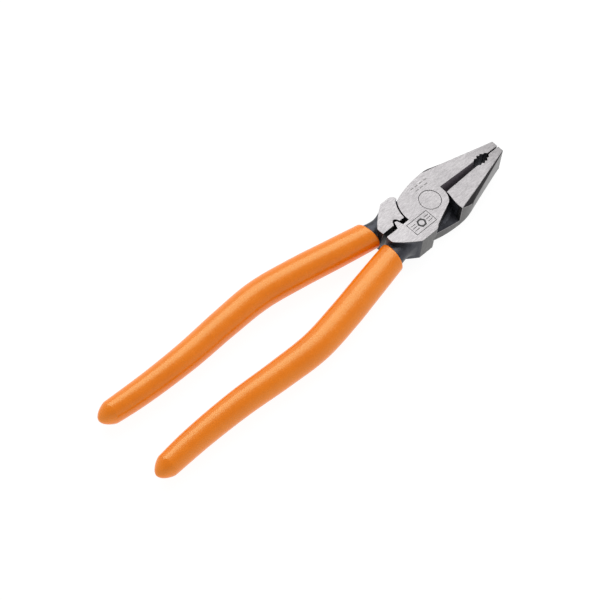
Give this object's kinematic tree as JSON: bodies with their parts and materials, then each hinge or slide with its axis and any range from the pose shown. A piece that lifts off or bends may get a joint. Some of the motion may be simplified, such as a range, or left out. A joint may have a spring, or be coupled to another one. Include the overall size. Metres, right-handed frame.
{
  "type": "lineman pliers",
  "caption": "Side-cutting combination pliers with flat and pipe-grip jaws, a crimping die behind a flush lap pivot, and closely dipped vinyl handle grips.",
  "frame": {"origin": "on the pivot axis, in the flat back face of the head", "axes": "+X from the pivot towards the jaw tips, along the line where the closed jaws meet; +Z out of the front face of the head along the pivot axis; +Y towards the jaw of the front half"},
  "size_m": [0.2144, 0.047, 0.0128],
  "materials": {
    "forged_steel": "faces ground bright, forged flanks and necks left dark",
    "rivet_steel": "ground flush with the faces of the head",
    "grip_vinyl": "smooth dipped vinyl, satin gloss"
  },
  "bodies": {
    "front_lever": {"front_half": "forged_steel", "front_grip": "grip_vinyl", "pivot_rivet": "rivet_steel"},
    "rear_lever": {"rear_half": "forged_steel", "rear_grip": "grip_vinyl"}
  },
  "joints": [
    {"name": "pivot", "type": "hinge", "parent": "front_lever", "child": "rear_lever", "pos_m": [0, 0, 0.0064], "axis": [0, 0, -1], "range_deg": [0, 60]}
  ]
}
